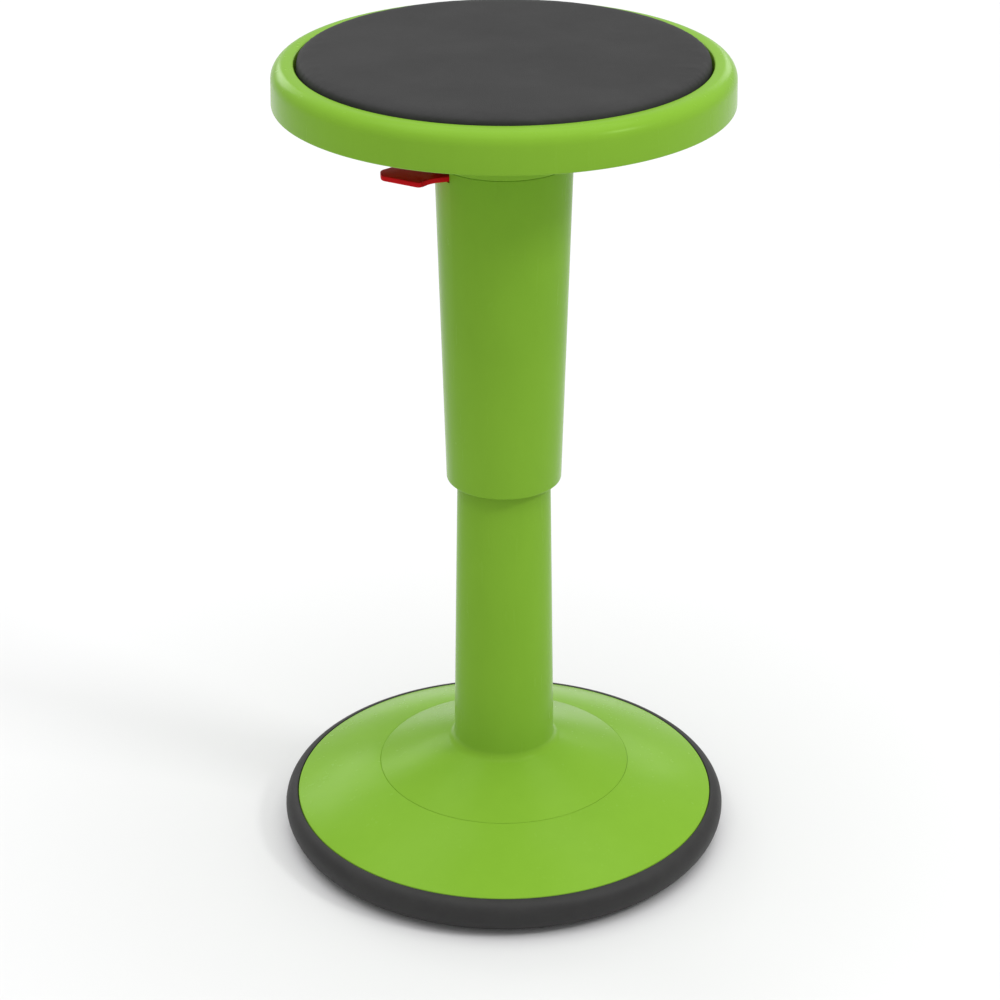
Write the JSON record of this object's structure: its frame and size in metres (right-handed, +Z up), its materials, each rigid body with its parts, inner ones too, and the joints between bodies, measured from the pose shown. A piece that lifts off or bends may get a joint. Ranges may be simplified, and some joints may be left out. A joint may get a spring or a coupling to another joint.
{
  "type": "wobble stool",
  "caption": "Height-adjustable wobble stool: round padded seat on a telescoping gas-lift column over a weighted base with a rounded rubber rocking sole.",
  "frame": {"origin": "centre of the sole's flat middle, on the floor", "axes": "+Z up the column, -Y towards the viewer's side, +X to the right"},
  "size_m": [0.358, 0.358, 0.6495],
  "materials": {
    "green_plastic": "semi-gloss lime green moulded plastic",
    "pad_cover": "smooth matt charcoal cover over foam",
    "rubber": "matt dark grey rubber",
    "red_plastic": "satin dark red moulding",
    "black_steel": "satin black",
    "cast_iron": "rough cast",
    "steel": "ground steel",
    "zinc_steel": "bright zinc",
    "chrome": "hard chrome",
    "aluminium": "die cast",
    "nylon": "natural nylon",
    "dark_nylon": "black nylon",
    "black_plastic": "textured black plastic",
    "buffer_rubber": "soft black rubber",
    "wood": "birch plywood"
  },
  "bodies": {
    "base": {"rubber_sole": "rubber", "base_frame": "black_steel", "ballast_ring": "cast_iron", "base_disc": "green_plastic", "lower_column": "green_plastic", "stand_tube": "black_steel", "guide_bush": "nylon", "guide_ring": "dark_nylon", "lower_race": "steel", "bottom_cover": "black_plastic", "column_screws": "zinc_steel", "disc_screws": "zinc_steel", "cover_screws": "zinc_steel"},
    "cage": {"ball_cage": "nylon", "bearing_balls": "steel"},
    "rod": {"piston_rod": "chrome", "upper_race": "steel", "retaining_clip": "zinc_steel", "clip_washer": "steel", "rod_buffer": "buffer_rubber", "piston": "aluminium", "piston_ring": "nylon"},
    "seat": {"pressure_tube": "black_steel", "rod_guide": "nylon", "valve_body": "steel", "seat_hub": "aluminium", "lever_pin": "steel", "upper_column": "green_plastic", "seat_shell": "green_plastic", "seat_plate": "black_steel", "pad_board": "wood", "seat_pad": "pad_cover", "hub_bolts": "zinc_steel", "plate_nuts": "zinc_steel", "pad_screws": "zinc_steel"},
    "button": {"release_button": "steel"},
    "lever": {"lever": "red_plastic"}
  },
  "joints": [
    {"name": "seat_swivel", "type": "hinge", "parent": "base", "child": "rod", "pos_m": [0, 0, 0], "axis": [0, 0, 1], "continuous": true},
    {"name": "cage_spin", "type": "hinge", "parent": "base", "child": "cage", "pos_m": [0, 0, 0], "axis": [0, 0, 1], "continuous": true},
    {"name": "seat_height", "type": "slide", "parent": "rod", "child": "seat", "axis": [0, 0, 1], "range_m": [-0.195, 0]},
    {"name": "lever_lift", "type": "hinge", "parent": "seat", "child": "lever", "pos_m": [-0.01913, -0.00585, 0.565], "axis": [-0.2924, 0.9563, 0], "range_deg": [0, 8], "stiffness_Nm_per_rad": 2.5, "springref_deg": -11.46},
    {"name": "button_press", "type": "slide", "parent": "seat", "child": "button", "axis": [0, 0, -1], "range_m": [0, 0.0028]}
  ],
  "couplings": [
    {"joint": "cage_spin", "follows": "seat_swivel", "ratio": 0.5},
    {"joint": "button_press", "follows": "lever_lift", "m_per_rad": 0.02}
  ]
}
